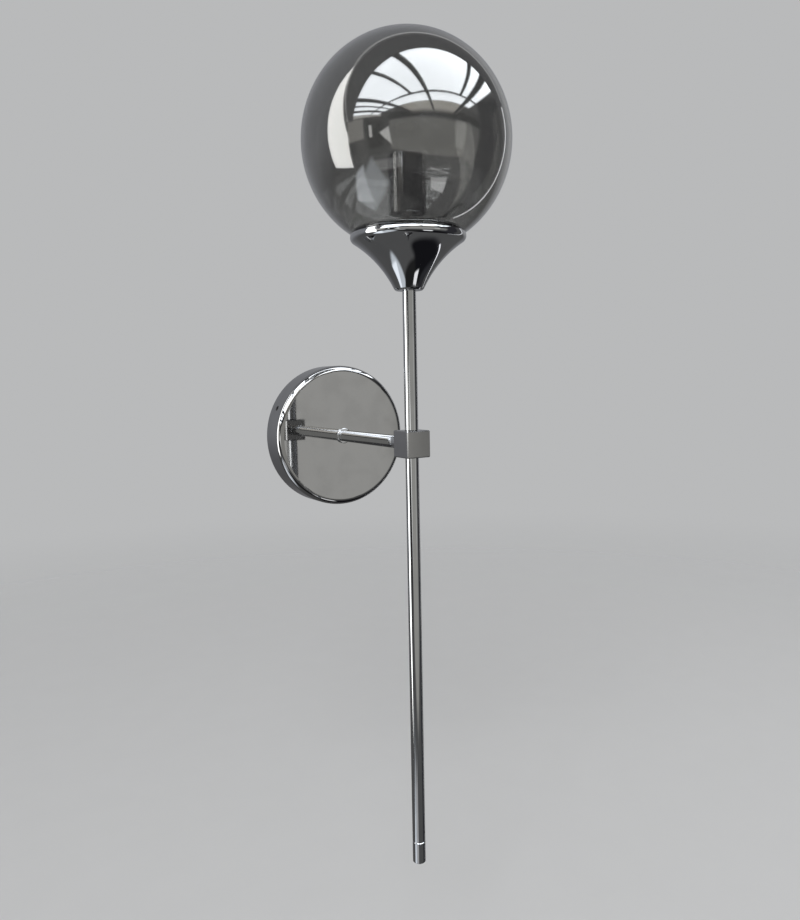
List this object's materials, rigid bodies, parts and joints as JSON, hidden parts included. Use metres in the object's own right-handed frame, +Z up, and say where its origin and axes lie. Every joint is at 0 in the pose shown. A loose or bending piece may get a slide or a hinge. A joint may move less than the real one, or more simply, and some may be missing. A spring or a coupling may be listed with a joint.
{
  "type": "wall sconce",
  "caption": "Wall light with a round canopy and an arm to a cube on a long upright rod; a smoked glass ball sits on a flared cup at its top and lifts off.",
  "frame": {"origin": "centre of the mounting plate and canopy, on the wall plane", "axes": "+Z up, +Y into the wall, so the light stands out towards -Y; +X to the right of someone who faces the wall"},
  "size_m": [0.15, 0.21, 0.62],
  "materials": {
    "chrome": "polished chrome plate",
    "smoked_glass": "smoked glass with a thin mirror coat",
    "zinc_steel": "bright zinc-plated steel",
    "spring_steel": "bright spring steel",
    "black_steel": "black oxide",
    "brass": "plain brass",
    "terminal_plastic": "moulded white plastic",
    "ceramic": "unglazed white ceramic",
    "brown_lead": "brown silicone sleeve",
    "blue_lead": "blue silicone sleeve",
    "earth_lead_green": "green and yellow silicone sleeve"
  },
  "bodies": {
    "fixture": {"mounting_plate": "zinc_steel", "canopy_cover": "chrome", "canopy_set_screws": "black_steel", "arm_lock_washer": "zinc_steel", "arm_nut": "zinc_steel", "arm_nipple": "zinc_steel", "arm_collar": "chrome", "arm_tube": "chrome", "cube_block": "chrome", "cube_arm_nipple": "zinc_steel", "cube_upper_nipple": "zinc_steel", "cube_lower_stud": "zinc_steel", "upper_stem": "chrome", "lower_stem": "chrome", "stem_end_cap": "chrome", "flared_cup": "chrome", "centre_tube": "zinc_steel", "cup_locknut": "zinc_steel", "cup_spacer": "zinc_steel", "fitter_pan": "chrome", "strip_spacer": "zinc_steel", "spring_strip": "spring_steel", "strip_nut": "chrome", "holder_sleeve": "chrome", "socket_bracket": "zinc_steel", "socket_nut": "zinc_steel", "g9_socket": "ceramic", "socket_contacts": "brass", "socket_screws": "zinc_steel", "terminal_block": "terminal_plastic", "terminal_clamps": "brass", "terminal_screws": "zinc_steel", "terminal_fixing_screws": "zinc_steel", "earth_screw": "brass", "earth_washer": "zinc_steel", "earth_tag": "brass", "live_lead": "brown_lead", "neutral_lead": "blue_lead", "earth_lead": "earth_lead_green"},
    "globe": {"glass_globe": "smoked_glass"}
  },
  "joints": [
    {"name": "globe_lift", "type": "slide", "parent": "fixture", "child": "globe", "axis": [0, 0, 1], "range_m": [0, 0.065], "deforming": ["spring_strip"]}
  ]
}
